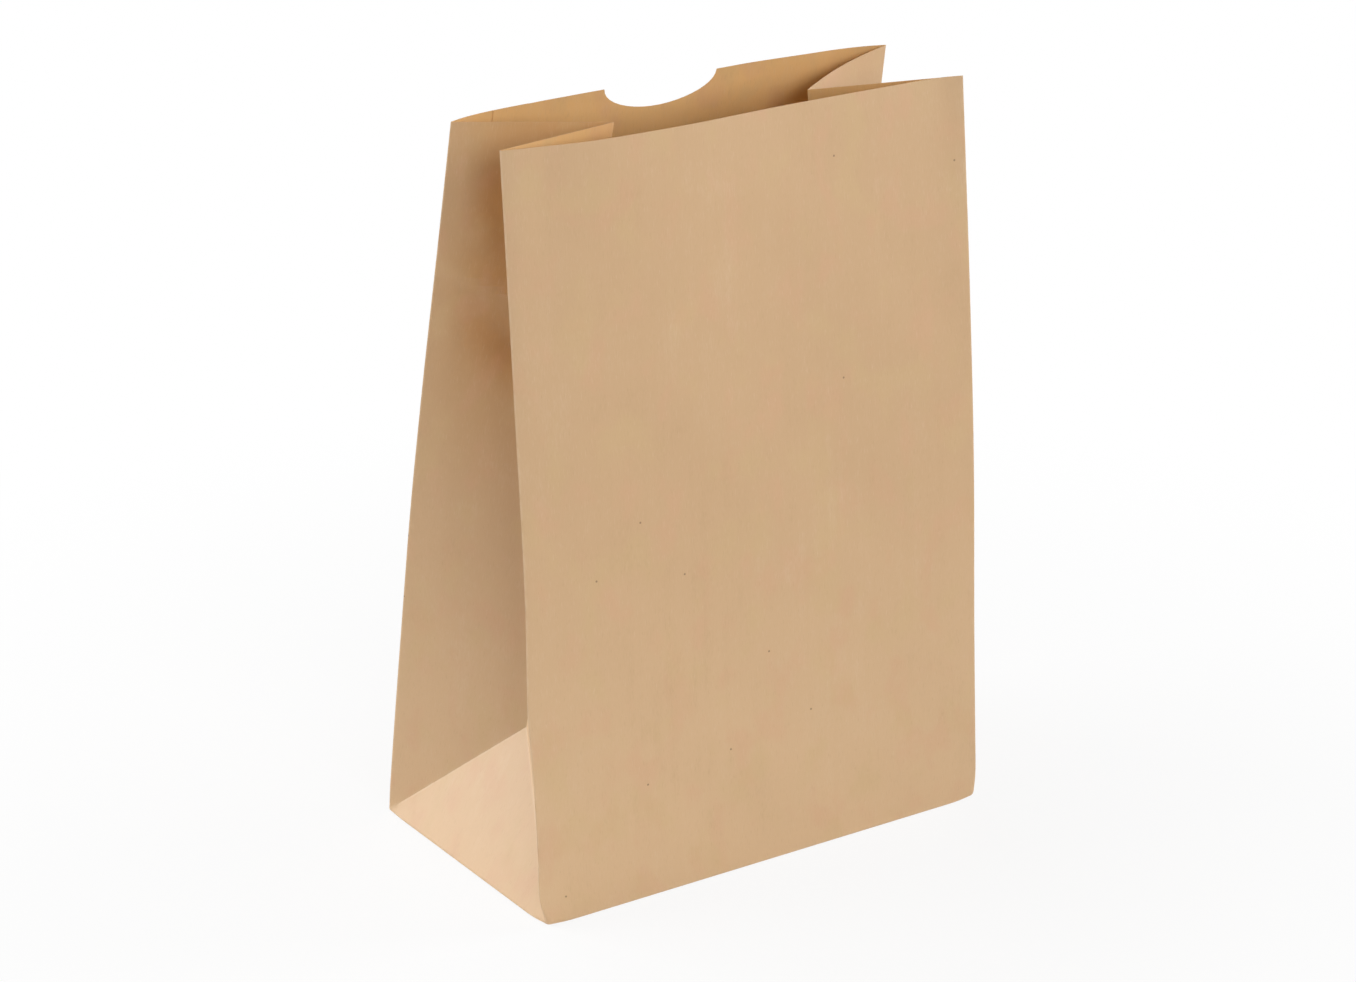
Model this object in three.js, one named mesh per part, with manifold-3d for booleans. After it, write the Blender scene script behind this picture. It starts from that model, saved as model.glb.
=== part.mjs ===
// A brown paper bag that stands open: a tube with two gusseted sides, folded shut below
// into a flat block bottom, with a thumb notch in the top edge of its back panel.
//
// Millimetres, +Z up, front panel towards -Y. The origin is the middle of the bottom,
// on the surface that the bag stands on.

import * as THREE from 'three';
import { mergeGeometries, mergeVertices } from 'three/addons/utils/BufferGeometryUtils.js';
import Module from 'manifold-3d';

const wasm = await Module();
wasm.setup();

// Cut sizes of the tube
const width = 152; // front and back panels, fold to fold
const depth = 90; // each gusseted side, fold to fold, laid flat
const height = 220; // bottom fold to top edge, along the paper
const paper = 0.12; // one thickness
const notchWidth = 40;
const notchDepth = 8.6;
const notchOffset = -1.5; // from the middle of the panel, towards the left

// Glued overlaps
const bottomLap = 14; // the front's flap over the back's, across the middle of the bottom
const seamLap = 12; // the tube's long seam, up the back panel
const seamInset = 16; // from the back left fold to the seam
const seamStep = 0.4; // in which the paper settles down past the seam's edge
const foldLip = 1.2; // paper left along a side's bottom fold, before the end flap shows
const cornerGap = 0.5; // from a bottom corner to the 45 degree ends of the long flaps
const flapGap = 0.4; // from the edges of an end flap to the foot of the walls around it
const lapLine = 0.5; // width of the line that the lapped flap's edge leaves under the bottom

// How the bag stands: angles in degrees, from upright
const lean = { frontLeft: 2, frontRight: 2.5, backLeft: 9.8, backRight: 7.8 };
const drift = 1.5; // front panel to the left, back panel to the right
const bow = { front: 2.5, back: 5 }; // outward swell of the top edges
const tuck = 19.5; // how far the peak of each side's bottom triangle leans in
const creaseDip = 7; // fall of the gusset's top edges towards the centre crease

// Grid of the folded sheet
const cornerCells = 5; // from a fold to the centre crease, and up to the triangle's peak
const upperRows = 12;
const panelColumns = 12;

const half = depth / 2;
const peakHeight = Math.sqrt(half ** 2 - tuck ** 2);
const flapLength = half + bottomLap / 2;
const layer = { longFlap: 0, web: 1, endFlap: 2, top: 3 }; // undersides, in papers
const glueLine = (layer.longFlap + layer.web) / 2; // where added layers end, inside the sheet
const radians = THREE.MathUtils.degToRad;

// The four corner folds. sideX and sideY are -1 or 1, and a fold rises along a unit vector.
function cornerFold(sideX, sideY, leanAngle) {
  const foot = new THREE.Vector3((sideX * width) / 2, (sideY * depth) / 2, 0);
  const sway = Math.sin(radians(drift));
  const rise = new THREE.Vector3(sideY * sway, -sideY * Math.sin(radians(leanAngle)), 0);
  rise.z = Math.sqrt(1 - rise.lengthSq());
  return { foot, rise };
}

const folds = {
  frontLeft: cornerFold(-1, -1, lean.frontLeft),
  frontRight: cornerFold(1, -1, lean.frontRight),
  backLeft: cornerFold(-1, 1, lean.backLeft),
  backRight: cornerFold(1, 1, lean.backRight),
};

function onFold(fold, up) {
  return fold.foot.clone().addScaledVector(fold.rise, up);
}

// A front or back panel, from one corner fold to the next. Its bow grows towards the top,
// and lift raises a point off the outside of the paper.
function panelPoint(start, end, swell) {
  const across = end.foot.clone().sub(start.foot);
  const outward = across.cross(start.rise.clone().add(end.rise)).normalize();
  return (x, up, lift = 0) => {
    const share = x / width;
    const bulge = swell * (1 - (2 * share - 1) ** 4) * (up / height) ** 2;
    const p = onFold(start, up).lerp(onFold(end, up), share).addScaledVector(outward, bulge + lift);
    return up === 0 ? p.setZ(0) : p;
  };
}

// Top end of a gusset's centre crease: half a side's width from both of its corner folds.
function creaseTop(near, far, inward) {
  const a = onFold(near, height);
  const b = onFold(far, height);
  const mouth = a.distanceTo(b) / 2;
  const along = b.clone().sub(a).normalize();
  const inwards = new THREE.Vector3(inward, 0, 0).projectOnPlane(along).normalize();
  const down = new THREE.Vector3(0, 0, -1).projectOnPlane(along).projectOnPlane(inwards).normalize();
  const reach = Math.sqrt(Math.max(half ** 2 - mouth ** 2, 0));
  return a.lerp(b, 0.5)
    .addScaledVector(inwards, reach * Math.cos(radians(creaseDip)))
    .addScaledVector(down, reach * Math.sin(radians(creaseDip)));
}

// A gusseted side, from one corner fold to the next. Two creases run from its bottom corners
// to a peak, and one crease goes from the peak to the top edge. The triangle under the peak
// is flat, and the halves above it fold in between the panels.
function gussetPoint(start, end, inward) {
  const footMiddle = start.foot.clone().lerp(end.foot, 0.5);
  const peak = footMiddle.clone().add(new THREE.Vector3(inward * tuck, 0, peakHeight));
  const top = creaseTop(start, end, inward);
  return (x, up) => {
    const fold = x <= half ? start : end;
    const fromFold = Math.min(x, depth - x);
    if (up < fromFold) {
      const foot = start.foot.clone().lerp(end.foot, x / depth);
      return foot.addScaledVector(peak.clone().sub(footMiddle), up / half);
    }
    const crease = up < half
      ? fold.foot.clone().lerp(peak, up / half)
      : peak.clone().lerp(top, (up - half) / (height - half));
    const reach = Math.min(up, half);
    return onFold(fold, up).lerp(crease, reach > 0 ? fromFold / reach : 0);
  };
}

// Distances at even steps.
function spaced(from, to, cells) {
  return Array.from({ length: cells + 1 }, (_, i) => from + ((to - from) * i) / cells);
}

// Heights of the grid's rows: square cells up to the triangles' peaks, longer ones above.
const rows = [...spaced(0, half, cornerCells), ...spaced(half, height, upperRows).slice(1)];

// Distances of the panels' columns from their left folds, closer where the seam's lap ends.
const seamEdge = seamInset + seamLap;
const pastSeam = spaced(seamEdge + seamStep, width, panelColumns);
const columns = [0, ...spaced(seamInset, seamEdge, 2), ...pastSeam];
const columnsFromRight = columns.map((x) => width - x).reverse();

// A stretch of the sheet, bent to shape, with a vertex at each distance across and up.
function bentSheet(point, acrosses, ups) {
  const cells = acrosses.length - 1;
  const steps = ups.length - 1;
  const sheet = new THREE.PlaneGeometry(cells, steps, cells, steps).translate(cells / 2, steps / 2, 0);
  const place = sheet.getAttribute('position');
  for (let i = 0; i < place.count; i++) {
    const p = point(acrosses[Math.round(place.getX(i))], ups[Math.round(place.getY(i))]);
    place.setXYZ(i, p.x, p.y, p.z);
  }
  sheet.deleteAttribute('normal');
  sheet.deleteAttribute('uv');
  return acrosses[cells] < acrosses[0] ? flip(sheet) : sheet;
}

function flip(geometry) {
  const corners = geometry.getIndex().array;
  for (let i = 0; i < corners.length; i += 3) {
    [corners[i], corners[i + 1]] = [corners[i + 1], corners[i]];
  }
  return geometry;
}

// One end of the bottom: a fan of triangles between a side's bottom fold and a column.
function bottomEnd(point, side, column) {
  const shares = spaced(0, 1, 2 * cornerCells);
  const fan = [point(side, 0.5), point(column, 1), point(column, 0)];
  for (let i = 0; i < 2 * cornerCells; i++) {
    const tip = i < cornerCells ? 0 : 1;
    fan.push(point(side, shares[i]), point(side, shares[i + 1]), point(column, tip));
  }
  const sheet = new THREE.BufferGeometry().setFromPoints(fan);
  sheet.setIndex(fan.map((_, i) => i));
  return side > column ? flip(sheet) : sheet;
}

// The outside of the tube and of its closed bottom. A lap of paper raises the back panel up
// the long seam: it has a free edge, and on its other side it settles down to the left fold.
// Each gusset is laid out from both of its folds inwards, so that the grid's diagonals lie
// on the corner creases.
function bagSheet(lap) {
  const { frontLeft, frontRight, backLeft, backRight } = folds;
  const front = panelPoint(frontLeft, frontRight, bow.front);
  const bare = panelPoint(backRight, backLeft, bow.back);
  const lift = (x) => (x < width - seamEdge ? 0 : lap * Math.min((width - x) / seamInset, 1));
  const back = (x, up) => bare(x, up, lift(x));
  const right = gussetPoint(frontRight, backRight, -1);
  const left = gussetPoint(backLeft, frontLeft, 1);
  const bottom = (x, share) => front(x, 0).lerp(back(width - x, 0), share);
  const toCrease = [spaced(0, half, cornerCells), spaced(depth, half, cornerCells)];
  return mergeVertices(mergeGeometries([
    bentSheet(front, columns, rows),
    bentSheet(back, columnsFromRight, rows),
    ...toCrease.map((stretch) => bentSheet(right, stretch, rows)),
    ...toCrease.map((stretch) => bentSheet(left, stretch, rows)),
    flip(bentSheet(bottom, columns.slice(1, -1), [0, 1])),
    bottomEnd(bottom, columns[0], columns[1]),
    bottomEnd(bottom, width, columns[columns.length - 2]),
  ]), 1e-4);
}

// A copy of a sheet moved inwards by a distance that is true on every face, mitred at creases.
function offsetInward(sheet, distance) {
  const place = sheet.getAttribute('position');
  const corners = sheet.getIndex();
  const spread = Array.from({ length: place.count }, () => new Array(9).fill(0));
  const pull = Array.from({ length: place.count }, () => new THREE.Vector3());
  const face = new THREE.Triangle();
  for (let i = 0; i < corners.count; i += 3) {
    const trio = [corners.getX(i), corners.getX(i + 1), corners.getX(i + 2)];
    face.setFromAttributeAndIndices(place, ...trio);
    const normal = face.getNormal(new THREE.Vector3());
    const n = normal.toArray();
    for (const vertex of trio) {
      pull[vertex].add(normal);
      for (let k = 0; k < 9; k++) spread[vertex][k] += n[Math.floor(k / 3)] * n[k % 3];
    }
  }
  const inner = sheet.clone();
  const moved = inner.getAttribute('position');
  const steady = 1e-6; // keeps a flat stretch, with one normal only, solvable
  for (let v = 0; v < place.count; v++) {
    const s = spread[v].map((value, k) => value + (k % 4 === 0 ? steady : 0));
    const shift = pull[v].applyMatrix3(new THREE.Matrix3().set(...s).invert()).multiplyScalar(-distance);
    moved.setXYZ(v, place.getX(v) + shift.x, place.getY(v) + shift.y, place.getZ(v) + shift.z);
  }
  return inner;
}

// The closed solid between an outer sheet and an inner one with the same grid.
function solidBetween(outer, inner) {
  const count = outer.getAttribute('position').count;
  const corners = Array.from(outer.getIndex().array);
  const edges = new Set();
  for (let i = 0; i < corners.length; i += 3) {
    for (let k = 0; k < 3; k++) edges.add(`${corners[i + k]},${corners[i + (k + 1) % 3]}`);
  }
  const rim = [];
  for (const edge of edges) {
    const [a, b] = edge.split(',').map(Number);
    if (!edges.has(`${b},${a}`)) rim.push(b, a, a + count, a + count, b + count, b);
  }
  const inside = Array.from(flip(inner).getIndex().array, (corner) => corner + count);
  const vertProperties = new Float32Array([
    ...outer.getAttribute('position').array,
    ...inner.getAttribute('position').array,
  ]);
  const triVerts = new Uint32Array([...corners, ...inside, ...rim]);
  return new wasm.Manifold(new wasm.Mesh({ numProp: 3, vertProperties, triVerts }));
}

function toManifold(geometry) {
  geometry.deleteAttribute('normal');
  geometry.deleteAttribute('uv');
  const merged = mergeVertices(geometry, 1e-5);
  return new wasm.Manifold(new wasm.Mesh({
    numProp: 3,
    vertProperties: merged.getAttribute('position').array,
    triVerts: new Uint32Array(merged.getIndex().array),
  }));
}

// A flat solid with an outline seen from above, between two counts of paper thickness.
function plate(points, fromLayer, toLayer) {
  const outline = new THREE.Shape(points.map(([x, y]) => new THREE.Vector2(x, y)));
  const thickness = (toLayer - fromLayer) * paper;
  const solid = new THREE.ExtrudeGeometry(outline, { depth: thickness, bevelEnabled: false });
  return toManifold(solid.translate(0, 0, fromLayer * paper));
}

// The innermost flap at an end, folded in from a gusseted side, with the doubled corners of
// the long flaps glued under it. It reaches down to the middle of the sheet that carries it.
function endFlap(sideX) {
  const wall = 2 * paper; // a wall and the slope of its foot
  const outer = sideX * (width / 2 - wall - flapGap);
  const inner = sideX * (width / 2 - flapLength);
  const y = half - wall - flapGap;
  return plate([[outer, -y], [outer, y], [inner, y], [inner, -y]], glueLine, layer.top);
}

// The last stretch of the back's long flap, glued over the front's, inside the bag. The ends
// of a long flap run in at 45 degrees, so it is a trapezium.
function lappedEdge() {
  const wide = width / 2 - 2 * cornerGap - half + bottomLap / 2;
  const narrow = width / 2 - 2 * cornerGap - flapLength;
  const y = bottomLap / 2;
  return plate([[-wide, y], [wide, y], [narrow, -y], [-narrow, -y]], glueLine, layer.endFlap);
}

// The line under the bottom, where the edge of the front's long flap presses into the back's.
function lapEdgeLine() {
  const reach = width / 2 - 2 * cornerGap - flapLength;
  const y = bottomLap / 2;
  const line = [[-reach, y], [reach, y], [reach, y + lapLine], [-reach, y + lapLine]];
  return plate(line, layer.longFlap, glueLine);
}

// Between the 45 degree ends of the long flaps, a triangle of the end flap shows from below.
function endRecess(sideX) {
  const base = sideX * (width / 2 - foldLip);
  const corner = half - foldLip - cornerGap;
  const tip = sideX * (width / 2 - half + cornerGap);
  return plate([[base, -corner], [base, corner], [tip, 0]], layer.longFlap, layer.endFlap);
}

// The thumb notch: half an ellipse, cut through the top edge of the back panel only.
function thumbNotch() {
  const middle = (left, right) => onFold(left, height).lerp(onFold(right, height), 0.5);
  const back = middle(folds.backLeft, folds.backRight);
  const front = middle(folds.frontLeft, folds.frontRight);
  const near = (front.y + back.y) / 2;
  const far = half + bow.back;
  const outline = new THREE.Shape();
  outline.absellipse(0, 0, notchWidth / 2, notchDepth, Math.PI, 2 * Math.PI, false);
  outline.lineTo(notchWidth / 2, notchDepth);
  outline.lineTo(-notchWidth / 2, notchDepth);
  const through = { depth: far - near, bevelEnabled: false, curveSegments: 22 };
  const cutter = new THREE.ExtrudeGeometry(outline, through).rotateX(Math.PI / 2);
  return toManifold(cutter.translate(back.x + notchOffset, far, back.z));
}

function bag() {
  const sheet = solidBetween(bagSheet(paper), offsetInward(bagSheet(0), paper));
  return sheet
    .add(endFlap(-1))
    .add(endFlap(1))
    .subtract(endRecess(-1))
    .subtract(endRecess(1))
    .add(lappedEdge())
    .subtract(lapEdgeLine())
    .subtract(thumbNotch());
}

function toGeometry(solid) {
  const mesh = solid.getMesh();
  const geometry = new THREE.BufferGeometry();
  geometry.setAttribute('position', new THREE.BufferAttribute(mesh.vertProperties, 3));
  geometry.setIndex(new THREE.BufferAttribute(mesh.triVerts, 1));
  geometry.computeVertexNormals();
  return geometry;
}

const kraft = new THREE.MeshStandardMaterial({ color: 0xcdac85, roughness: 0.85, metalness: 0 });

const paperBag = new THREE.Mesh(toGeometry(bag()), kraft);
paperBag.name = 'paper_bag';

const group = new THREE.Group();
group.add(paperBag);

export default group;
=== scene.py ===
# %% [markdown]
# A brown paper lunch bag that stands open.
# The real bag is one sheet of kraft paper: it is glued into a tube, pleated along two
# sides, and its lower end is folded shut into a flat bottom. A short notch for the thumb
# is cut into the top edge of the back panel.
# This lesson builds the bag in the same way. It draws a grid on the flat sheet, says where
# each point of the sheet goes when the sheet is folded, and gives the folded grid the
# thickness of paper. Boxes or planes put side by side would be quicker, but their edges
# would stay dead straight, and nothing would tell which way the paper runs.

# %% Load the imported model
import math

import bpy
import numpy as np
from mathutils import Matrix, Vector


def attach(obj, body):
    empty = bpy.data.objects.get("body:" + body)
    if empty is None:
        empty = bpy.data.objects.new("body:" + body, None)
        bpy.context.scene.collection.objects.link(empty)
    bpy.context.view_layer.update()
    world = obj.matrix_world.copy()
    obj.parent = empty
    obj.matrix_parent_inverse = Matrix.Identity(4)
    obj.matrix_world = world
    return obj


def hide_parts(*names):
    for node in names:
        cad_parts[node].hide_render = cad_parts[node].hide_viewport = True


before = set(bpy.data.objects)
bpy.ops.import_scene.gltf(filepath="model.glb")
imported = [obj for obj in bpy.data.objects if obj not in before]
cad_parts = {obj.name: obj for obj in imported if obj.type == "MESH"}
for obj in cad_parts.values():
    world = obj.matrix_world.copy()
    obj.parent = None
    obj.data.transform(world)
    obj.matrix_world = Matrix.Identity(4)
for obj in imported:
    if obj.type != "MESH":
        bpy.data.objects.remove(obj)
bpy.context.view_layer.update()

# %% [markdown]
# The sizes come first. They are the sizes of the sheet before it is folded, and the
# angles at which the walls lean when the bag stands open, so that the folded sheet
# lies where the CAD model has it. Everything in the mesh code is in millimetres. Blender
# works in metres, so the last step divides by a thousand.

# %% Sizes of the sheet, in millimetres
WIDTH, DEPTH, HEIGHT = 152.0, 90.0, 220.0  # of the panels and sides, from fold to fold
HALF = DEPTH / 2
PAPER = 0.14  # thickness
LAYER = 0.16  # from one layer of the bottom to the next
BOTTOM_LAP = 14.0  # the front's flap over the back's
FLAP = HALF + BOTTOM_LAP / 2
SEAM_INSET, SEAM_EDGE = 16.0, 28.0  # both ends of the glued seam, from the back left fold
NOTCH_WIDTH, NOTCH_DEPTH = 40.0, 7.5
NOTCH_MIDDLE = WIDTH / 2 + 2.2  # from the back right fold
LEAN = {"front left": 2.0, "front right": 2.5, "back left": 9.8, "back right": 7.8}
DRIFT = 1.5  # degrees: the front panel to the left, the back panel to the right
TUCK = 19.5  # how far the peak of each side's triangle leans in
PEAK_SHIFT = {"left": -3.8, "right": 0.0}  # of that peak along y, as the foot is a little skew
CREASE_DIP = {"left": 0.0, "right": 8.5}  # degrees, of the side's top edges to the crease
PEAK_HEIGHT = math.sqrt(HALF**2 - TUCK**2)
print("the peaks stand", round(PEAK_HEIGHT, 1), "mm above the bottom")

# %% [markdown]
# Paper never keeps a ruler's edge. The corner folds of this bag swell outwards a little
# half way up, and its top edges are gentle waves. Each of these is written as a few
# measured points, and a smooth curve is drawn through them. A spline through few points
# is easier to correct than noise, because each number is a place on the bag.

# %% Smooth curves through measured points
def curve(*points):
    """A smooth function through (place, value) points that is level past both ends."""
    xs, ys = np.array(points, float).T
    slopes = np.gradient(ys, xs)
    slopes[0] = slopes[-1] = 0.0

    def at(x):
        x = np.clip(x, xs[0], xs[-1])
        i = np.clip(np.searchsorted(xs, x) - 1, 0, len(xs) - 2)
        step, change = xs[i + 1] - xs[i], ys[i + 1] - ys[i]
        t = (x - xs[i]) / step
        first, last = slopes[i] * step, slopes[i + 1] * step
        squared = 3 * change - 2 * first - last
        cubed = first + last - 2 * change
        return ys[i] + first * t + squared * t**2 + cubed * t**3

    return at


def line(*points):
    """Like curve, but its ends keep the slope of their last stretch."""
    xs, ys = np.array(points, float).T
    first = (ys[1] - ys[0]) / (xs[1] - xs[0])
    last = (ys[-1] - ys[-2]) / (xs[-1] - xs[-2])
    return curve((2 * xs[0] - xs[1], ys[0] - first * (xs[1] - xs[0])), *points,
                 (2 * xs[-1] - xs[-2], ys[-1] + last * (xs[-1] - xs[-2])))


print("half way up a curve from 0 to 1:", float(curve((0, 0), (1, 1))(0.5)))

# %% The measured points of the folds and top edges
# sideways swell of each corner fold, by height
SWELL = {
    "front left": line((0, 0), (7, 1.5), (22, 1.4), (42, 1.3), (62, 1.8), (90, 0.7), (150, 0.3),
                       (220, 0.1)),
    "front right": line((0, 0), (50, 0.5), (110, 1.5), (160, 1.1), (220, 0)),
    "back left": line((0, 0), (30, 0.7), (65, 1.3), (105, 1.8), (140, 1.5), (190, 0.5), (220, 0)),
    "back right": line((0, 0), (60, 0.8), (110, 1.2), (160, 0.8), (220, 0)),
}
# outward swell of the top edges, by distance from the panel's left fold, seen from the front
FRONT_EDGE = line((0, 0), (2.6, 0.9), (11, 2.25), (19, 3.6), (28, 4.4), (37, 4.5), (46, 4.4),
                  (56, 4.0), (72, 2.5), (89, 0.9), (104, 0.2), (120, 0), (152, 0))
FRONT_DINT = line((0, 0), (89, 0), (104, -0.3), (120, -0.8), (131, -1.4), (140, -1.9), (146, -1.6),
                  (152, 0))
BACK_EDGE = line((0, 0), (5.8, 2.0), (11, 3.0), (22, 4.3), (42, 4.9), (60, 5.3), (76, 5.8),
                 (94, 6.2), (105, 6.4), (116, 5.8), (126, 5.0), (137, 4.0), (148, 1.6), (152, 0))
print("the front edge swells out by", round(float(FRONT_EDGE(40.0)), 2), "mm in its left half")

# %% [markdown]
# A corner fold is a line that rises from a corner of the bottom. Everything between two
# corner folds is ruled from one to the other, so the four folds set the whole stance of
# the bag: nearly upright at the front, leaning in at the back. Bending a finished box with
# a modifier would come close, but the paper between the folds would stretch.

# %% The four corner folds
def mix(a, b, share):
    """The point at a share of the way from a to b."""
    return a + (b - a) * np.asarray(share)[..., None]


def rise(side_y, lean):
    """The direction in which a corner fold rises."""
    x, y = side_y * math.sin(math.radians(DRIFT)), -side_y * math.sin(math.radians(lean))
    return np.array([x, y, math.sqrt(1 - x * x - y * y)])


def corner_fold(name):
    side_x = 1 if "right" in name else -1
    side_y = 1 if "back" in name else -1
    foot = np.array([side_x * WIDTH / 2, side_y * HALF, 0.0])

    def at(up):
        up = np.asarray(up, float)
        place = foot + rise(side_y, LEAN[name]) * up[..., None]
        place[..., 0] += side_x * SWELL[name](up)
        return place

    return at


FOLD = {name: corner_fold(name) for name in LEAN}
for name, fold in FOLD.items():
    print(name, "fold ends at", fold(HEIGHT).round(1))


# %% [markdown]
# The front and back panels are stretched between two folds. Both swell outwards towards
# the mouth, and the swell dies out lower down, where the bottom holds the paper flat.
# Very low waves across the sheet, a few tenths of a millimetre high, catch the light as
# real paper does. A bump map could fake them, but not at the outline, and the mesh is
# fine enough to carry them.

# %% Low waves in the paper
WAVES = 9  # added up
WAVE_LENGTHS = 26, 75
WAVE_HEIGHT = 0.22
WAVES_FROM = 30.0  # the height at which they are full, as the bottom holds the paper flat


def ripple(across, up, seed):
    """Low waves in the paper, about one high and one deep."""
    draw = np.random.default_rng(seed)
    total = np.zeros(np.broadcast(across, up).shape)
    for _ in range(WAVES):
        length = draw.uniform(*WAVE_LENGTHS)
        way, start = draw.uniform(0, math.pi), draw.uniform(0, 2 * math.pi)
        travelled = across * math.cos(way) + up * math.sin(way)
        total += np.sin(2 * math.pi * travelled / length + start)
    return total / math.sqrt(WAVES)


print("a wave in the middle of a panel:", round(float(ripple(76.0, 110.0, 3)), 2))

# %% Front and back panels
SWELL_POWER = 2.2  # how soon the swell of the mouth dies out lower down
DINT_POWER = 8
PAST_MOUTH = 1.2  # the sheet is also asked for just past its top edge


def panel(left, right, swell, outward, seed):
    """Where a panel's points go, by distance from its left fold, seen from the front."""
    def at(x, up):
        share = x / WIDTH
        place = mix(FOLD[left](up), FOLD[right](up), share)
        middle_share = 4 * share * (1 - share)  # 0 at both folds, 1 half way
        loose = np.clip(4 * middle_share * np.clip(up / WAVES_FROM, 0, 1), 0, 1)
        place[..., 1] += outward * (swell(x, up) + WAVE_HEIGHT * loose * ripple(x, up, seed))
        return place

    return at


def front_swell(x, up):
    """The mouth's swell reaches far down; the dint beside the right corner is short."""
    high = np.clip(up / HEIGHT, 0, PAST_MOUTH)
    return FRONT_EDGE(x) * high**SWELL_POWER + FRONT_DINT(x) * high**DINT_POWER


def back_swell(x, up):
    return BACK_EDGE(x) * np.clip(up / HEIGHT, 0, PAST_MOUTH) ** SWELL_POWER


front_panel = panel("front left", "front right", front_swell, -1, seed=3)
back_panel = panel("back left", "back right", back_swell, 1, seed=8)
print("middle of the front panel:", front_panel(np.array(WIDTH / 2), np.array(110.0)).round(1))


# %% [markdown]
# A gusseted side is folded along five lines. Two creases run up from the bottom corners at
# 45 degrees to the edges of the sheet and meet in a peak, and under them the paper is a
# flat triangle that leans in. From the peak a single crease goes up to the mouth, and
# the paper on both sides of it folds in between the panels. Where that crease ends isn't
# free: along the top edge it is half a side's width from both corner folds. So the end is
# worked out from the folds, and isn't placed by eye.

# %% The top of the centre crease
def crease_top(near, far, inward, dip):
    """The top end of a side's centre crease, half a side's width from both corner folds."""
    a, b = FOLD[near](HEIGHT), FOLD[far](HEIGHT)
    along = (b - a) / np.linalg.norm(b - a)
    sideways = np.array([inward, 0.0, 0.0]) - along * along[0] * inward
    sideways /= np.linalg.norm(sideways)
    down = np.array([0.0, 0.0, -1.0])
    down -= along * (down @ along) + sideways * (down @ sideways)
    down /= np.linalg.norm(down)
    reach = math.sqrt(HALF**2 - (np.linalg.norm(b - a) / 2) ** 2)
    angle = math.radians(dip)
    return (a + b) / 2 + reach * (sideways * math.cos(angle) + down * math.sin(angle))


for side, inward in (("left", 1), ("right", -1)):
    top = crease_top("back " + side, "front " + side, inward, CREASE_DIP[side])
    print(side, "crease ends at", top.round(1))

# %% [markdown]
# A hand has pushed the left side in near the mouth, and the paper has buckled: a thin ridge
# runs down from the back fold, with a wide hollow over it and a narrow one under it. Each
# dent is a sum of smooth bumps, pushed out or in. Sculpting would do as well by eye, but
# these numbers can be corrected one at a time. The right side only bows a little.

# %% Dents in the sides
RIDGE_START, RIDGE_FALL = 179.0, 0.33  # its height at the back fold, and its fall per mm
RIDGE_PUSH, LOW_PUSH, BULGE_PUSH, HOLLOW_PUSH = 1.9, 0.5, 1.5, -6.2  # outwards
SLANT = 0.75  # share of each push that goes across the side, as its halves stand aslant
MOUTH_HOLD = 12.0  # the top edge stays straight, and hollows fade out over this height
BOW_START, BOW_PUSH = 130.0, 2.4  # of the right side's back half


def bump(x, middle, spread):
    """A smooth hill that is one high in its middle."""
    return np.exp(-(((x - middle) / spread) ** 2))


def left_dents(from_back, up):
    """Outward push in the left side, and backward push, which has the halves' own slant."""
    inwards = np.clip(from_back / 12, 0, 1) * np.clip((DEPTH - from_back) / 30, 0, 1)
    ridge = RIDGE_START - RIDGE_FALL * from_back
    out = inwards * (RIDGE_PUSH * bump(up, ridge, 3.4) + LOW_PUSH * bump(up, 105, 25))
    hollows = bump(up, ridge + 24, 16) + 0.9 * bump(up, ridge - 15, 7.5)
    across = BULGE_PUSH * bump(from_back, 9, 6) + HOLLOW_PUSH * bump(from_back, 30, 15)
    out += across * hollows * np.clip((HEIGHT - up) / MOUTH_HOLD, 0, 1)
    return SLANT * out, -SLANT * out * np.clip((HALF - from_back) / 20, -1, 1)


def right_dents(from_back, up):
    """Outward push in the right side, and backward push, for its back half bows at the mouth."""
    inwards = np.clip(from_back / 20, 0, 1) * np.clip((DEPTH - from_back) / 20, 0, 1)
    high = np.clip((up - BOW_START) / (HEIGHT - BOW_START), 0, 1)
    bow = np.sin(math.pi * np.clip(from_back / HALF, 0, 1)) * high**1.5
    return inwards * (0.9 * bump(up, 150, 14) - 0.8 * bump(up, 118, 16)), BOW_PUSH * bow


print("push in the left hollow:", round(float(left_dents(30.0, 193.0)[0]), 1), "mm")

# %% The gusseted sides
SETTLE = 20.0  # dents fade out over this height above the triangle's peak


def gusset(near, far, inward, dents):
    """Where a side's points go, by distance from the fold called near."""
    corners = FOLD[near](0.0), FOLD[far](0.0)
    side = near.split()[1]
    foot_middle = (corners[0] + corners[1]) / 2
    peak = foot_middle + np.array([inward * TUCK, PEAK_SHIFT[side], PEAK_HEIGHT])
    top = crease_top(near, far, inward, CREASE_DIP[side])

    def at(x, up):
        x, up = np.broadcast_arrays(np.asarray(x, float), np.asarray(up, float))
        beyond = (x > HALF)[..., None]
        from_fold = np.minimum(x, DEPTH - x)
        triangle = mix(*corners, x / DEPTH) + (peak - foot_middle) * (up / HALF)[..., None]
        edge = np.where(beyond, FOLD[far](up), FOLD[near](up))
        low = mix(np.where(beyond, corners[1], corners[0]), peak, up / HALF)
        high = mix(peak, top, (up - HALF) / (HEIGHT - HALF))
        crease = np.where((up < HALF)[..., None], low, high)
        pleat = mix(edge, crease, from_fold / np.clip(up, 1e-6, HALF))
        place = np.where((up < from_fold)[..., None], triangle, pleat)
        settle = np.clip((up - HALF) / SETTLE, 0, 1)
        from_back = x if near.startswith("back") else DEPTH - x
        push_x, push_y = dents(from_back, up)
        place[..., 0] -= inward * settle * push_x
        place[..., 1] += settle * push_y
        return place

    return at


left_side = gusset("back left", "front left", 1, left_dents)
right_side = gusset("front right", "back right", -1, right_dents)
print("peaks:", left_side(HALF, HALF).round(1), right_side(HALF, HALF).round(1))


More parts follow.
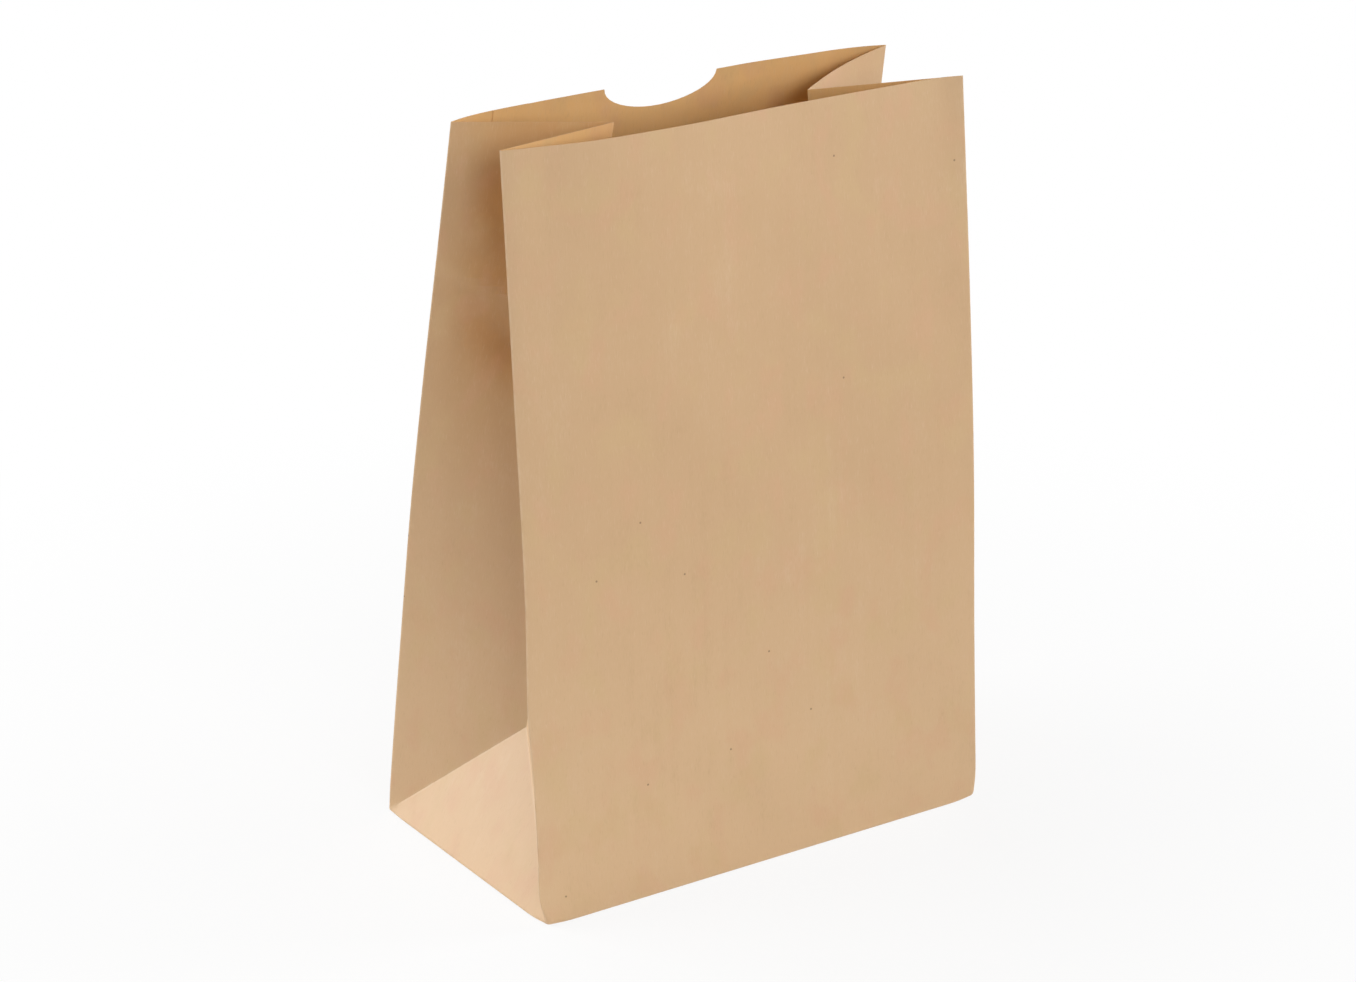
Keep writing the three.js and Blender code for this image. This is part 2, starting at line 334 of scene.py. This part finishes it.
# %% [markdown]
# The bottom is made of the same sheet, below the walls. The two ends fold in first, as
# rectangles. The two long flaps follow, and at each corner they drag a triangle of paper
# in with them, which lies doubled under the end. Last, the flap of the front is glued
# over that of the back. From below the bag shows the long flaps with ends at 45 degrees,
# and between them a triangle of each end. The layers lie one above the other. A plain
# plate would look the same from above, but not from below, where this fold is the sign of
# a block-bottom bag.

# %% The folded bottom
LAYERS_UP = {"long": 0.5, "lap": 1.5, "web": 2.5, "end": 3.5}  # middles, counted in layers
LEVEL = {name: LAYER * layers for name, layers in LAYERS_UP.items()}
BEND = 1.2  # length of paper in which a layer comes to its height


def level(name, below):
    """The height of a bottom layer. It starts at the foot of the walls."""
    foot = LAYER / 2
    return foot + (LEVEL[name] - foot) * np.clip(below / BEND, 0, 1)


def long_flap(x, below, side_y):
    """A long flap and its two corner triangles, by distance from the left, seen from the front."""
    from_corner = np.minimum(x, WIDTH - x)
    side_x = np.where(x < WIDTH / 2, -1, 1)
    past_lap = below - (FLAP - BOTTOM_LAP)  # the end of the back's flap lies on the front's
    lapped = np.clip((past_lap + BEND / 2) / BEND, 0, 1) if side_y > 0 else 0 * below
    z = level("long", below) + (LEVEL["lap"] - LEVEL["long"]) * lapped
    flap = np.stack([x - WIDTH / 2, side_y * (HALF - below), z], axis=-1)
    z = level("web", below - from_corner)
    web = np.stack([side_x * (WIDTH / 2 - below), side_y * (HALF - from_corner), z], axis=-1)
    return np.where((from_corner >= below)[..., None], flap, web)


def end_flap(x_from_back, below, side_x):
    """An end, folded straight in."""
    x, y = side_x * (WIDTH / 2 - below), HALF - x_from_back
    return np.stack([x, y, level("end", below)], axis=-1)


print("bottom layers in mm:", {name: round(height, 2) for name, height in LEVEL.items()})


# %% [markdown]
# Now the whole sheet can be unrolled. It starts at the free edge of the seam, on the back
# panel near its left fold, and goes round: left side, front, right side, back, until it
# tucks under its own beginning, where the seam is glued. One function takes a place on
# the flat sheet, along it and up it, to its place in the folded bag.

# %% From the flat sheet to the folded bag
LEFT, FRONT, RIGHT, BACK = 0.0, DEPTH, DEPTH + WIDTH, 2 * DEPTH + WIDTH  # where each begins
SHEET_START, SHEET_END = -SEAM_EDGE, BACK + WIDTH - SEAM_INSET


def stretches(along):
    """For each stretch of the sheet: where it is, the distance along it, its wall and bottom."""
    from_back_left = np.where(along < LEFT, -along, BACK + WIDTH - along)
    on_back = (along < LEFT) | (along >= BACK)
    on_left = (along >= LEFT) & (along < FRONT)
    on_front = (along >= FRONT) & (along < RIGHT)
    on_right = (along >= RIGHT) & (along < BACK)
    return [
        (on_back, from_back_left, back_panel, lambda x, below: long_flap(x, below, 1)),
        (on_left, along, left_side, lambda x, below: end_flap(x, below, -1)),
        (on_front, along - FRONT, front_panel, lambda x, below: long_flap(x, below, -1)),
        (on_right, along - RIGHT, right_side, lambda x, below: end_flap(DEPTH - x, below, 1)),
    ]


def folded(along, up):
    """The place in the bag of a place on the flat sheet, with sharp folds."""
    along, up = np.broadcast_arrays(np.asarray(along, float), np.asarray(up, float))
    place = np.empty(along.shape + (3,))
    for here, x, wall, bottom in stretches(along):
        if here.any():
            raised = wall(x[here], np.maximum(up[here], 0))
            raised[..., 2] += LAYER / 2
            flat = bottom(x[here], np.maximum(-up[here], 0))
            place[here] = np.where((up[here] >= 0)[..., None], raised, flat)
    return place


print("a point of the left side:", folded(20.0, 100.0).round(1))


# %% [markdown]
# Folded paper is never quite sharp: its fibres bend round a small radius, and the bottom
# corners, where many layers meet, are blunt. Averaging the folded places over a small
# ring of the flat sheet gives just that. It leaves flat paper flat, and it rounds
# every fold, corners included, without a bevel for each.

# %% Soft folds
RING = [(math.cos(a), math.sin(a)) for a in np.linspace(0, 2 * math.pi, 9)[:-1]]
CENTRE_WEIGHT = 2
CRISP = 0.4  # radius along the folds
BLUNT = {LEFT: 0.5, FRONT: 1.6, RIGHT: 1.8, BACK: 0.7}  # more, at each bottom corner
BLUNT_REACH = 5.0


def softness(along, up):
    """The radius that a place is averaged over: blunter at the bottom corners, else crisp."""
    return CRISP + sum(more * bump(np.hypot(along - corner, up), 0, BLUNT_REACH)
                       for corner, more in BLUNT.items())


def softened(along, up):
    """The place in the bag of a place on the flat sheet, with soft folds."""
    radius = softness(along, up)
    total = CENTRE_WEIGHT * folded(along, up)
    for x, y in RING:
        total += folded(along + radius * x, up + radius * y)
    return total / (CENTRE_WEIGHT + len(RING))


print("radius at a front bottom corner:", round(float(softness(FRONT, 0.0)), 2), "mm")


# %% [markdown]
# The grid lines are drawn next. They are close together beside a fold and wider apart on
# flat paper. In the sides, and in the corners of the bottom, the lines are as far
# from the fold as the rows are from the bottom fold, so that the 45 degree creases run
# exactly through the corners of the grid. The columns across the thumb notch are spaced as
# points round half an ellipse are, and there the rows are pressed down to its curve. That
# gives a clean notch, where a Boolean would leave long thin triangles.

# %% Distances from a fold
STEP = 2.1
NEAR_FOLD = [0.0, 0.4, 0.85, 1.4, 2.2]


def from_fold(length):
    """Distances from a fold: close together first, then in even steps."""
    last = NEAR_FOLD[-1]
    count = round((length - last) / STEP)
    return NEAR_FOLD + list(np.linspace(last, length, count + 1)[1:])


def between_folds(length, middle, reach):
    """Distances across a panel, close together beside both of its folds."""
    left = from_fold(reach)
    return np.unique(np.round(left + list(middle) + [length - x for x in left], 6))


print("columns of a side:", len(between_folds(DEPTH, [], HALF)))

# %% The columns and rows of the grid
NOTCH_COLUMNS, FRONT_MIDDLE_COLUMNS, UPPER_ROWS = 21, 24, 84
BESIDE_NOTCH = FLAP + 2.7  # one more column, between the flap's corner and the notch
SEAM_CLEAR = 0.5  # no other column is as close as this to an end of the sheet
RIM = 0.3, 0.4  # width of the narrow strips along the seam's edge and the mouth

notch_angles = np.linspace(0, math.pi, NOTCH_COLUMNS)
notch_columns = NOTCH_MIDDLE - NOTCH_WIDTH / 2 * np.cos(notch_angles)
front_middle = np.linspace(FLAP, WIDTH - FLAP, FRONT_MIDDLE_COLUMNS)
front_columns = between_folds(WIDTH, front_middle, FLAP)
back_columns = between_folds(WIDTH, [BESIDE_NOTCH, *notch_columns], FLAP)  # from the right fold
side_columns = between_folds(DEPTH, [], HALF)

columns = np.concatenate([
    [-x for x in from_fold(FLAP)[::-1] if 0 < x < SEAM_EDGE - SEAM_CLEAR],
    LEFT + side_columns, FRONT + front_columns, RIGHT + side_columns,
    [BACK + x for x in back_columns if x < WIDTH - SEAM_INSET - SEAM_CLEAR],
    [SHEET_START, SHEET_START + RIM[0], SHEET_END, -SEAM_INSET],
])
columns = np.unique(np.round(columns, 6))
rows = np.concatenate([[-x for x in from_fold(FLAP)], from_fold(HALF),
                       np.linspace(HALF, HEIGHT, UPPER_ROWS), [HEIGHT - RIM[1]]])
rows = np.unique(np.round(rows, 6))
print("grid:", len(columns), "columns by", len(rows), "rows")

# %% The thumb notch
PRESSED = 45.0  # height of the stretch in which the rows are pressed down to the notch

along, up = (grid.T for grid in np.meshgrid(columns, rows))
notch_x = (along - BACK - NOTCH_MIDDLE) / (NOTCH_WIDTH / 2)
notch_drop = NOTCH_DEPTH * np.sqrt(np.clip(1 - notch_x**2, 0, None))
up = up - notch_drop * np.clip((up - (HEIGHT - PRESSED)) / PRESSED, 0, 1)
print("lowest point of the top row:", round(float(up[:, -1].min()), 2), "mm up the sheet")

# %% [markdown]
# Paper has two faces. Each grid point gets a direction across the paper, worked out
# from how the folded places change along and up the sheet, and both faces are put half a
# thickness to either side. Where the seam is glued, the inner end of the sheet is pushed in
# by a thickness, so the outer end really lies on it and has a free edge of its own.

# %% Both faces of the paper
TUCK_LENGTH, GLUE = 5.0, 0.03


def across_paper(along, up, reach=0.3):
    """The direction from the inside of the paper to its outside."""
    east = softened(along + reach, up) - softened(along - reach, up)
    north = softened(along, up + reach) - softened(along, up - reach)
    normal = np.cross(east, north)
    return normal / np.linalg.norm(normal, axis=-1, keepdims=True)


middle = softened(along, up)
outward = across_paper(along, up)
tuck_start = SHEET_END - (SEAM_EDGE - SEAM_INSET) - TUCK_LENGTH
tucked = np.clip((along - tuck_start) / TUCK_LENGTH, 0, 1) * (PAPER + GLUE)
middle -= outward * tucked[..., None]
outer = middle + outward * PAPER / 2
inner = middle - outward * PAPER / 2
print("lowest point:", round(float(min(outer[..., 2].min(), inner[..., 2].min())), 3), "mm")


# %% [markdown]
# The two faces become one closed mesh: a strip of faces round the border joins them, so
# the paper has real edges at the mouth, in the notch and along the seam. Each square
# of the grid is cut into two triangles along the way that the 45 degree creases run.

# %% The triangles of the grid
def grid_triangles(across_count, up_count):
    """Triangles of a grid, cut along the diagonal that suits the creases."""
    c, r = (grid.T for grid in np.meshgrid(np.arange(across_count - 1), np.arange(up_count - 1)))
    a, b = c * up_count + r, (c + 1) * up_count + r
    centre = (columns[:-1] + columns[1:])[:, None] / 2
    near_first_fold = np.zeros(centre.shape, bool)  # in the first half of its stretch
    for start, length in ((LEFT - WIDTH, WIDTH), (LEFT, DEPTH), (FRONT, WIDTH), (RIGHT, DEPTH),
                          (BACK, WIDTH)):
        near_first_fold |= (centre >= start) & (centre < start + length / 2)
    rising = near_first_fold ^ (rows[:-1] < 0)[None, :]
    first = np.where(rising[..., None], np.stack([a, b, b + 1], -1), np.stack([a, b, a + 1], -1))
    second = np.where(rising[..., None], np.stack([a, b + 1, a + 1], -1),
                      np.stack([b, b + 1, a + 1], -1))
    return np.concatenate([first.reshape(-1, 3), second.reshape(-1, 3)])


def border(across_count, up_count):
    """The grid's border, once round, with the sheet on its left."""
    index = np.arange(across_count * up_count).reshape(across_count, up_count)
    return np.concatenate([index[:-1, 0], index[-1, :-1], index[:0:-1, -1], index[0, :0:-1]])


count = len(columns), len(rows)
face = grid_triangles(*count)
print("one face of the paper:", len(face), "triangles")

# %% The mesh of the bag
SHARP_FROM = math.radians(24)  # a fold is shaded sharp from this angle

total = count[0] * count[1]
here = border(*count)
following = np.roll(here, -1)
rim = np.concatenate([np.stack([here, here + total, following + total], -1),
                      np.stack([here, following + total, following], -1)])
triangles = np.concatenate([face, face[:, ::-1] + total, rim])
points = np.concatenate([outer.reshape(-1, 3), inner.reshape(-1, 3)]) / 1000

sheet_mesh = bpy.data.meshes.new("paper_bag_sheet")
sheet_mesh.from_pydata(points.tolist(), [], triangles.tolist())
sheet_mesh.polygons.foreach_set("use_smooth", np.ones(len(triangles), bool))
sheet_mesh.set_sharp_from_angle(angle=SHARP_FROM)
bag = bpy.data.objects.new("paper_bag_sheet", sheet_mesh)
bpy.context.scene.collection.objects.link(bag)
print("bag:", len(points), "points,", len(triangles), "triangles")

# %% [markdown]
# The finish has to know the inside of the paper from its outside. Each point carries a
# number for that, 0 outside and 1 inside. Two materials would do it too, but then every
# change to the paper would have to be made twice.

# %% Inside and outside
inside_mark = sheet_mesh.attributes.new("inside", "FLOAT", "POINT")
inside_mark.data.foreach_set("value", np.repeat([0.0, 1.0], total).astype(np.float32))
print("inside points:", total)

# %% [markdown]
# A map of the flat sheet goes onto the mesh, so that the finish is drawn on the flat
# paper and folds with it, as the fibres of a real sheet do. Its two numbers are a place on
# the sheet, divided by a span that is a little longer than the sheet.

# %% The map of the flat sheet
MAP_SPAN = 500.0
flat_place = np.stack([along - SHEET_START, up + FLAP], -1).reshape(-1, 2) / MAP_SPAN
flat_place = np.concatenate([flat_place, flat_place])
sheet_map = sheet_mesh.uv_layers.new(name="flat_sheet")
sheet_map.uv.foreach_set("vector", flat_place[triangles.ravel()].astype(np.float32).ravel())
print("the map spans", flat_place.min(0).round(3), "to", flat_place.max(0).round(3))

# %% [markdown]
# A finish is a graph of nodes. The small class below lets the graph be written as
# sums: each value knows its socket, and adding or multiplying two of them adds a Math node.
# Any other node comes from one method that takes its type, its settings and its sockets.

# %% Values that can be added and multiplied
class Value:
    """A number that changes over the surface."""

    def __init__(self, finish, socket):
        self.finish, self.socket = finish, socket

    def _math(self, operation, *others):
        return self.finish.node("ShaderNodeMath", {"operation": operation},
                                dict(enumerate([self, *others])))

    def __add__(self, other):
        return self._math("ADD", other)

    def __sub__(self, other):
        return self._math("SUBTRACT", other)

    def __mul__(self, other):
        return self._math("MULTIPLY", other)

    def __truediv__(self, other):
        return self._math("DIVIDE", other)

    def __rsub__(self, other):
        return self.finish.node("ShaderNodeMath", {"operation": "SUBTRACT"}, {0: other, 1: self})

    __radd__, __rmul__ = __add__, __mul__

    def __abs__(self):
        return self._math("ABSOLUTE")

    def lowest(self, other):
        return self._math("MINIMUM", other)

    def below(self, limit):
        return self._math("LESS_THAN", limit)


print("a Value can be added, subtracted, multiplied and divided")

# %% Finishes, which hold the nodes
class Finish:
    """The nodes of a new material, or of a new world."""

    def __init__(self, name, kind=bpy.types.Material):
        library = bpy.data.worlds if kind is bpy.types.World else bpy.data.materials
        self.made_for = library.new(name)
        self.made_for.use_nodes = True
        self.tree = self.made_for.node_tree
        self.tree.nodes.clear()

    def node(self, kind, settings=None, sockets=None, out=0):
        """Adds a node. Returns one of its outputs as a Value."""
        made = self.tree.nodes.new(kind)
        for name, setting in (settings or {}).items():
            setattr(made, name, setting)
        for name, value in (sockets or {}).items():
            if isinstance(value, Value):
                self.tree.links.new(value.socket, made.inputs[name])
            else:
                made.inputs[name].default_value = value
        return Value(self, made.outputs[out]) if len(made.outputs) else None

    def ramp(self, value, low, high):
        """0 below low, 1 above high, and smooth in between."""
        return self.node("ShaderNodeMapRange", {"interpolation_type": "SMOOTHSTEP"},
                         {0: value, 1: low, 2: high, 3: 0.0, 4: 1.0})

    def tint(self, colour, other, share):
        """A colour mixed with another by a share."""
        return self.node("ShaderNodeMix", {"data_type": "RGBA"},
                         {0: share, 6: colour, 7: other}, out=2)


print("finishes can be made for", bpy.types.Material.__name__, "and", bpy.types.World.__name__)


# %% [markdown]
# Kraft paper is made of long brown fibres. Held to the light it is cloudy, because they
# clump; close up it shows single fibres, most of them along the web of the paper machine,
# and now and then a dark speck of bark. All of it is drawn in millimetres on the flat
# sheet. Creases are rubbed a little paler, because there the fibres have broken.

# %% The kraft paper finish: places on the sheet
kraft = Finish("kraft_paper")
flat = kraft.node("ShaderNodeUVMap", {"uv_map": "flat_sheet"})
place = kraft.node("ShaderNodeVectorMath", {"operation": "SCALE"}, {0: flat, "Scale": MAP_SPAN})
u = kraft.node("ShaderNodeSeparateXYZ", sockets={0: place}, out=0) + SHEET_START
v = kraft.node("ShaderNodeSeparateXYZ", sockets={0: place}, out=1) - FLAP
print("places on the sheet:", len(kraft.tree.nodes), "nodes")

# %% The kraft paper finish: clouds and fibres
def noise(x_step, y_step, detail=2.0, roughness=0.5, offset=0.0):
    """Soft noise on the flat sheet, with its grain's width and height in millimetres."""
    where = kraft.node("ShaderNodeCombineXYZ", sockets={0: u / x_step + offset, 1: v / y_step})
    return kraft.node("ShaderNodeTexNoise", {"noise_dimensions": "2D"},
                      {"Vector": where, "Scale": 1.0, "Detail": detail, "Roughness": roughness})


clouds = noise(9.0, 14.0, detail=4.0, roughness=0.6)
broad = noise(55.0, 70.0, detail=1.0, offset=7.0)
grain = noise(0.45, 2.6, detail=3.0, roughness=0.6, offset=3.0)
tooth = noise(0.35, 0.4, detail=2.0, offset=11.0)
streaks = noise(2.4, 140.0, detail=2.0, offset=19.0)
pale_hairs = kraft.ramp(noise(0.22, 3.4, detail=1.0, offset=31.0), 0.66, 0.78)
dark_hairs = kraft.ramp(noise(0.25, 2.8, detail=1.0, offset=43.0), 0.67, 0.8)
print("with clouds and fibres:", len(kraft.tree.nodes), "nodes")

# %% The kraft paper finish: specks
SPECK_SPACING = 14.0
SPECK_SHARE = 0.06  # of the places where a speck could be
SPECK_RADII = 0.012, 0.03  # of its dark middle and of its rim, in spacings

where = kraft.node("ShaderNodeCombineXYZ", sockets={0: u / SPECK_SPACING, 1: v / SPECK_SPACING})


def speck_cells(out):
    """One output of a cell pattern. Each cell has a centre and a random colour."""
    return kraft.node("ShaderNodeTexVoronoi", {"voronoi_dimensions": "2D"},
                      {"Vector": where, "Scale": 1.0}, out=out)


drawn = kraft.node("ShaderNodeSeparateColor", sockets={0: speck_cells("Color")}, out=0)
specks = (1 - kraft.ramp(speck_cells("Distance"), *SPECK_RADII)) * drawn.below(SPECK_SHARE)
print("with specks:", len(kraft.tree.nodes), "nodes")

# %% [markdown]
# The creases need no picture either: on the flat sheet they are straight lines, so the
# distance from a point to the nearest one is a short sum. The same distance tells how
# deep in a pleat a point lies. Deep inside the pleats, near the mouth, the outside of the
# paper is painted darker: painted shade, for the shade that falls deep in a pleat. The left
# pleat is the deeper one, and gets more of it.

# %% The kraft paper finish: creases
FAR = 99.0  # added to a distance where there is no crease
WORN_WIDTHS = 0.15, 0.9  # from a crease: fully worn, and not worn
PLEAT_DEPTHS, PLEAT_HEIGHTS = (-8.0, 20.0), (100.0, 175.0)  # where it begins and is full
# how much painted pleat shade each side gets, the left more than the right
PLEAT_SHADE_SHARE = {LEFT: 0.9, RIGHT: 0.2}

to_fold = abs(u - LEFT)
for corner in (FRONT, RIGHT, BACK):
    to_fold = to_fold.lowest(abs(u - corner))
to_fold = to_fold.lowest(abs(v))


def within(start):
    """1 inside one side, 0 elsewhere."""
    return abs(u - (start + HALF)).below(HALF)


def crease_distance(start):
    """Distance to the centre crease or the 45 degree creases of one side."""
    from_middle = abs(u - (start + HALF))
    centre = from_middle + FAR * v.below(HALF)
    slanted = abs(v - HALF + from_middle) * math.sqrt(0.5) + FAR * (1 - v.below(HALF + 0.5))
    return centre.lowest(slanted) + FAR * (1 - within(start))


pleat_depth = kraft.ramp(to_fold, *PLEAT_DEPTHS) * kraft.ramp(v, *PLEAT_HEIGHTS)
# painted shade: a mask of the deep parts of the pleats, near the mouth
pleat_shade = pleat_depth * (within(LEFT) * PLEAT_SHADE_SHARE[LEFT] + within(RIGHT) * PLEAT_SHADE_SHARE[RIGHT])
to_crease = crease_distance(LEFT).lowest(crease_distance(RIGHT))
worn_line = 1 - kraft.ramp(to_fold.lowest(to_crease), *WORN_WIDTHS)
rubbed = worn_line * kraft.ramp(noise(3.0, 5.0, detail=2.0, offset=57.0), 0.3, 0.65)
print("with creases:", len(kraft.tree.nodes), "nodes")

# %% [markdown]
# The colour starts from plain kraft brown and is pushed a little lighter or darker by each
# of these. The changes are small, a few parts in a hundred, or the paper turns to wood.
# Inside the bag the brown is warmer, because some light comes through the thin paper.
# Real transmission would need a volume or a translucent shader, which cost more than they
# show on paper this brown. The foot is painted a little paler: painted light, for the light
# that the white floor throws back onto it. Soft patches lean to rose or straw.

# %% The kraft paper finish: colour
FLOOR_BOUNCE_HEIGHT = 130.0  # the paler foot fades out up to here
BROWN, INNER_BROWN = (0.605, 0.394, 0.215, 1.0), (0.767, 0.475, 0.202, 1.0)
PALE, DARK, SPECK = (0.74, 0.56, 0.37, 1.0), (0.44, 0.26, 0.125, 1.0), (0.20, 0.11, 0.05, 1.0)
# painted light: the paler brown of the foot stands for light thrown back by the white floor
FLOOR_BOUNCE_BROWN = (0.71, 0.485, 0.28, 1.0)
# painted shade: the darker brown that stands for shade deep in the pleats
PLEAT_SHADE_BROWN = (0.555, 0.315, 0.122, 1.0)
ROSY, STRAW = (0.66, 0.37, 0.22, 1.0), (0.62, 0.44, 0.215, 1.0)

tone = (clouds - 0.5) * 0.34 + (broad - 0.5) * 0.22
tone = tone + (grain - 0.5) * 0.30 + (streaks - 0.5) * 0.16
is_inside = kraft.node("ShaderNodeAttribute", {"attribute_name": "inside"}, out="Fac")
colour = kraft.tint(BROWN, INNER_BROWN, is_inside)
# painted light: the foot paler, fading out upwards, for light from the white floor
colour = kraft.tint(colour, FLOOR_BOUNCE_BROWN, (1 - kraft.ramp(v, 0.0, FLOOR_BOUNCE_HEIGHT)) * 0.75)
# painted shade: the outside is darker deep in the pleats, near the mouth
colour = kraft.tint(colour, PLEAT_SHADE_BROWN, pleat_shade * (1 - is_inside))
rosy_patches = kraft.ramp(noise(11.0, 16.0, detail=2.0, offset=71.0), 0.5, 0.75)
straw_patches = kraft.ramp(noise(13.0, 18.0, detail=2.0, offset=83.0), 0.5, 0.75)
colour = kraft.tint(colour, ROSY, rosy_patches * 0.3)
colour = kraft.tint(colour, STRAW, straw_patches * 0.3)
colour = kraft.tint(colour, PALE, kraft.ramp(tone, 0.0, 0.42) * 0.55)
colour = kraft.tint(colour, DARK, kraft.ramp(tone * -1, 0.0, 0.42) * 0.45)
colour = kraft.tint(colour, PALE, pale_hairs * 0.22)
colour = kraft.tint(colour, DARK, dark_hairs * 0.20)
colour = kraft.tint(colour, PALE, rubbed * 0.30)
colour = kraft.tint(colour, SPECK, specks * 0.75)
print("with colour:", len(kraft.tree.nodes), "nodes")

# %% The kraft paper finish: gloss and relief
RELIEF_STRENGTH, RELIEF_DEPTH = 0.35, 0.0001  # the depth in metres

roughness = 0.53 + (grain - 0.5) * 0.12 - worn_line * 0.05
relief = (grain - 0.5) * 0.5 + (tooth - 0.5) * 0.35 + (clouds - 0.5) * 0.9 + worn_line * 0.25
normal = kraft.node("ShaderNodeBump", sockets={
    "Strength": RELIEF_STRENGTH, "Distance": RELIEF_DEPTH, "Height": relief})
paper = kraft.node("ShaderNodeBsdfPrincipled", sockets={
    "Base Color": colour, "Roughness": roughness, "Normal": normal, "Specular IOR Level": 0.5})
kraft.node("ShaderNodeOutputMaterial", sockets={"Surface": paper})
bag.data.materials.append(kraft.made_for)
print("kraft paper:", len(kraft.tree.nodes), "nodes")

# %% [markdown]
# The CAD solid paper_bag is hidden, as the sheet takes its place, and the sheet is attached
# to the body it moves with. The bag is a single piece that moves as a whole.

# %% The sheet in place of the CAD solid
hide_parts("paper_bag")
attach(bag, "root")

# %% [markdown]
# The studio is as plain as can be: a pale floor that keeps the bag's soft shadow, and a
# white surround that only the camera and gloss see. The floor's white glow, which the
# camera alone sees, is full at a distance and lets a little shade through round the bag.

# %% The floor
FLOOR_SIZE = 6.0
FLOOR_DROP = 0.0002  # so that the floor doesn't lie in the face of the lowest paper

floor_mesh = bpy.data.meshes.new("floor")
r = FLOOR_SIZE / 2
floor_mesh.from_pydata([(-r, -r, 0), (r, -r, 0), (r, r, 0), (-r, r, 0)], [], [(0, 1, 2, 3)])
floor = bpy.data.objects.new("floor", floor_mesh)
floor.location.z = -FLOOR_DROP
bpy.context.scene.collection.objects.link(floor)
print("floor:", FLOOR_SIZE, "m across")

# %% The floor's finish
WHITE, FLOOR_GREY = (1.0, 1.0, 1.0, 1.0), (0.9, 0.9, 0.9, 1.0)
GLOW_NEAR, GLOW_RADII = 0.88, (0.06, 0.4)  # share of glow beside the bag; metres to full glow


def seen_directly(finish):
    """1 for what the camera sees, also in a gloss or through something clear, else 0."""
    rays = "Is Camera Ray", "Is Glossy Ray", "Is Transmission Ray"
    camera_ray, glossy_ray, clear_ray = (
        finish.node("ShaderNodeLightPath", out=ray) for ray in rays)
    return (camera_ray + glossy_ray + clear_ray).lowest(1.0)


pale = Finish("pale_floor")
matt = pale.node("ShaderNodeBsdfDiffuse", sockets={"Color": FLOOR_GREY})
glow = pale.node("ShaderNodeEmission", sockets={"Color": WHITE, "Strength": 1.0})
centre = pale.node("ShaderNodeTexCoord", out="Object")
reach = pale.node("ShaderNodeVectorMath", {"operation": "LENGTH"}, {0: centre}, out="Value")
whiteness = pale.ramp(reach, *GLOW_RADII) * (1 - GLOW_NEAR) + GLOW_NEAR
shown = pale.node("ShaderNodeMixShader", sockets={
    0: seen_directly(pale) * whiteness, 1: matt, 2: glow})
pale.node("ShaderNodeOutputMaterial", sockets={"Surface": shown})
floor.data.materials.append(pale.made_for)
print("floor:", len(pale.tree.nodes), "nodes")

# %% The white surround
AMBIENT = 0.04  # strength of the surround as a light

surround = Finish("white_surround", bpy.types.World)
ambient = surround.node("ShaderNodeBackground", sockets={"Color": WHITE, "Strength": AMBIENT})
backdrop = surround.node("ShaderNodeBackground", sockets={"Color": WHITE, "Strength": 1.0})
sky = surround.node("ShaderNodeMixShader", sockets={
    0: seen_directly(surround), 1: ambient, 2: backdrop})
surround.node("ShaderNodeOutputWorld", sockets={"Surface": sky})
bpy.context.scene.world = surround.made_for
print("world:", len(surround.tree.nodes), "nodes")

# %% [markdown]
# The lamps are soft squares, all at the same distance. One stands before the bag and one
# right beside the camera, which throws the edge of the front panel onto the pleat behind
# it. One on the right lights the mouth. The two on the left and behind light the slanted
# triangle at the foot of the side, and the last of them grazes it, which gives the
# whitish sheen that smooth paper has against the light. A sky picture would be less work
# and would light the bag as evenly, but it can't throw that one soft shadow.

# %% Lamps
TARGET = Vector((0.0, 0.0, 0.11))  # half way up the bag, in metres
LAMP_DISTANCE = 1.6


def soft_lamp(name, azimuth, elevation, size, power):
    """A square lamp that faces the bag. Azimuth is in degrees, from the front to the right."""
    a, e = math.radians(azimuth), math.radians(elevation)
    way = Vector((math.sin(a) * math.cos(e), -math.cos(a) * math.cos(e), math.sin(e)))
    light = bpy.data.lights.new(name, "AREA")
    light.shape, light.size, light.energy = "SQUARE", size, power
    lamp = bpy.data.objects.new(name, light)
    lamp.location = TARGET + way * LAMP_DISTANCE
    lamp.rotation_euler = way.to_track_quat("Z", "Y").to_euler()
    bpy.context.scene.collection.objects.link(lamp)
    return lamp


soft_lamp("front", azimuth=-8, elevation=20, size=0.5, power=7.9)
soft_lamp("beside_the_camera", azimuth=-24, elevation=18, size=0.3, power=4.0)
soft_lamp("right", azimuth=71, elevation=18, size=0.7, power=12.6)
soft_lamp("left_and_high", azimuth=-115, elevation=45, size=0.6, power=7.7)
soft_lamp("behind_on_the_left", azimuth=-143, elevation=10, size=0.5, power=13.6)
soft_lamp("above_and_behind", azimuth=180, elevation=57, size=0.7, power=4.8)
print("lamps:", len(bpy.data.lights), "with", round(sum(x.energy for x in bpy.data.lights), 1), "W")

# %% [markdown]
# The camera stands where the photographer stood: left of the front, a little above the
# bag, with a long lens. Its place and lens were worked out from the corners and edges of
# the bag, because a camera that is set by eye gets the perspective a little wrong, and
# then every edge has to be bent to make up for it.

# %% The camera
AIM = Vector((-2.034, 0.0, 100.082)) / 1000
DISTANCE, LENS, SENSOR = 0.93827, 86.19, 36.0  # metres; lens and sensor in millimetres
YAW, PITCH = 0.5900801, 0.3506551  # radians

camera_data = bpy.data.cameras.new("camera")
camera_data.lens, camera_data.sensor_width = LENS, SENSOR
camera_data.clip_start, camera_data.clip_end = 0.05, 20.0
camera = bpy.data.objects.new("camera", camera_data)
away = Vector((-math.sin(YAW) * math.cos(PITCH), -math.cos(YAW) * math.cos(PITCH), math.sin(PITCH)))
camera.location = AIM + away * DISTANCE
camera.rotation_euler = away.to_track_quat("Z", "Y").to_euler()
bpy.context.scene.collection.objects.link(camera)
bpy.context.scene.camera = camera
bpy.context.scene.view_settings.view_transform = "Standard"
print("camera at", [round(x, 4) for x in camera.location])
